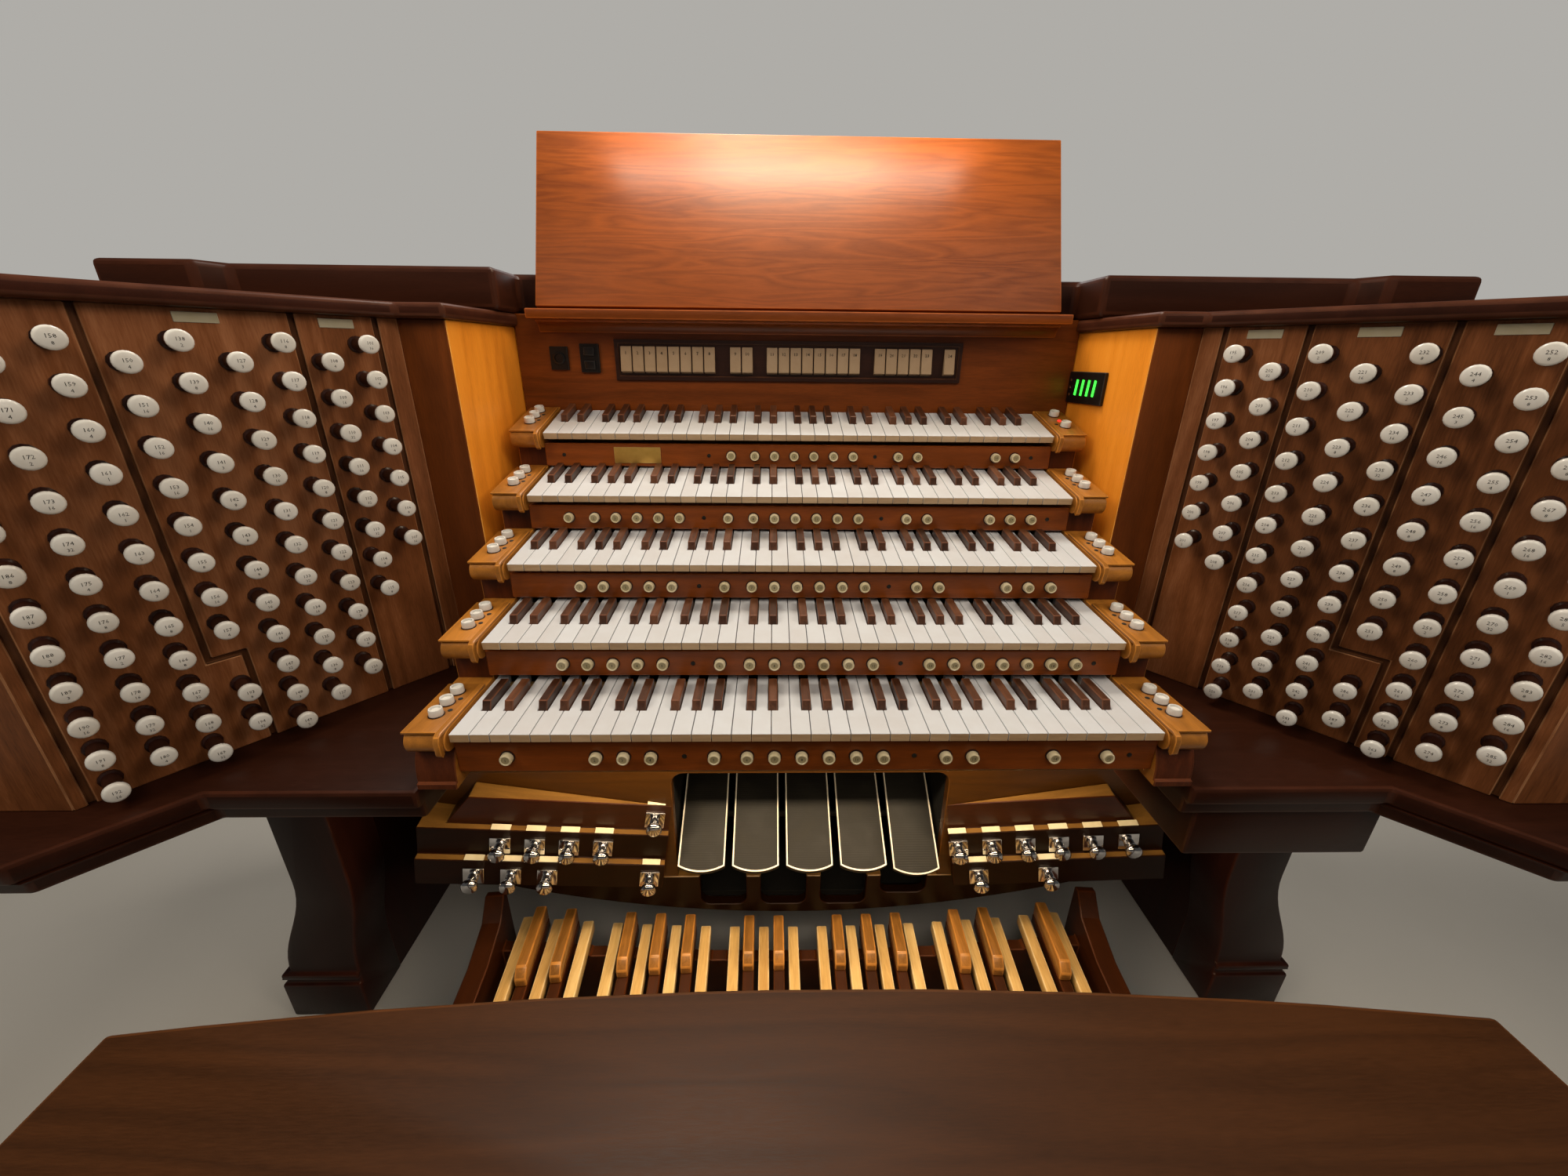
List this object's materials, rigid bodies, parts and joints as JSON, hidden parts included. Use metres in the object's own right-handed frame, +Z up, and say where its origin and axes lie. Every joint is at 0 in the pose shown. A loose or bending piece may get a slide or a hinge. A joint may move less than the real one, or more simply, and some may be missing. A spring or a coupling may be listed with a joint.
{
  "type": "pipe organ console",
  "caption": "Drawknob console of a church organ with stacked manuals, angled stop jambs, tilting expression shoes, pedalboard and bench.",
  "frame": {"origin": "middle of the whole outline on the floor, under the key table, with the bench in place", "axes": "+Y from the player to the back of the console, +X to the player's right, +Z up"},
  "size_m": [2.128, 1.286, 1.632],
  "materials": {
    "dark_mahogany": "satin lacquer",
    "jamb_veneer": "satin lacquer",
    "cherry": "satin lacquer",
    "brown_veneer": "satin lacquer",
    "knob_white": "polished",
    "key_white": "satin",
    "rosewood": "oiled",
    "maple": "satin lacquer",
    "shoe_rubber": "ribbed",
    "black_trim": "matt",
    "stud_chrome": "polished"
  },
  "bodies": {
    "console": {"key_table": "dark_mahogany", "legs": "dark_mahogany", "side_panels": "dark_mahogany", "case_back": "dark_mahogany", "upper_sides": "jamb_veneer", "case_tops": "dark_mahogany", "crown": "dark_mahogany", "jambs": "jamb_veneer", "pilasters": "dark_mahogany", "side_walls": "cherry", "drawknobs": "knob_white", "naturals": "key_white", "sharps": "rosewood", "key_beds": "maple", "key_blocks": "cherry", "piston_rails": "brown_veneer", "thumb_pistons": "knob_white", "block_knobs": "knob_white", "nameboard": "brown_veneer", "tab_tray": "black_trim", "rocker_tabs": "knob_white", "level_display": "black_trim", "desk_ledge": "brown_veneer", "music_desk": "cherry", "knee_panel": "brown_veneer", "toe_boards": "brown_veneer", "toe_studs": "stud_chrome", "shoe_box": "black_trim", "kick_rail": "brown_veneer", "pedal_frame": "brown_veneer", "pedal_naturals": "maple", "pedal_shanks": "rosewood", "pedal_sharps": "rosewood", "bench_top": "dark_mahogany", "bench_frame": "dark_mahogany", "apron_box": "dark_mahogany"},
    "swell_shoe_1": {"swell_shoe_1": "shoe_rubber"},
    "swell_shoe_2": {"swell_shoe_2": "shoe_rubber"},
    "swell_shoe_3": {"swell_shoe_3": "shoe_rubber"},
    "swell_shoe_4": {"swell_shoe_4": "shoe_rubber"},
    "swell_shoe_5": {"swell_shoe_5": "shoe_rubber"}
  },
  "joints": [
    {"name": "shoe_1_tilt", "type": "hinge", "parent": "console", "child": "swell_shoe_1", "pos_m": [-0.187, 0.334, 0.354], "axis": [1, 0, 0], "range_deg": [-18, 6]},
    {"name": "shoe_2_tilt", "type": "hinge", "parent": "console", "child": "swell_shoe_2", "pos_m": [-0.0785, 0.334, 0.354], "axis": [1, 0, 0], "range_deg": [-18, 6]},
    {"name": "shoe_3_tilt", "type": "hinge", "parent": "console", "child": "swell_shoe_3", "pos_m": [0.03, 0.334, 0.354], "axis": [1, 0, 0], "range_deg": [-18, 6]},
    {"name": "shoe_4_tilt", "type": "hinge", "parent": "console", "child": "swell_shoe_4", "pos_m": [0.1385, 0.334, 0.354], "axis": [1, 0, 0], "range_deg": [-18, 6]},
    {"name": "shoe_5_tilt", "type": "hinge", "parent": "console", "child": "swell_shoe_5", "pos_m": [0.247, 0.334, 0.354], "axis": [1, 0, 0], "range_deg": [-24, 0]}
  ]
}
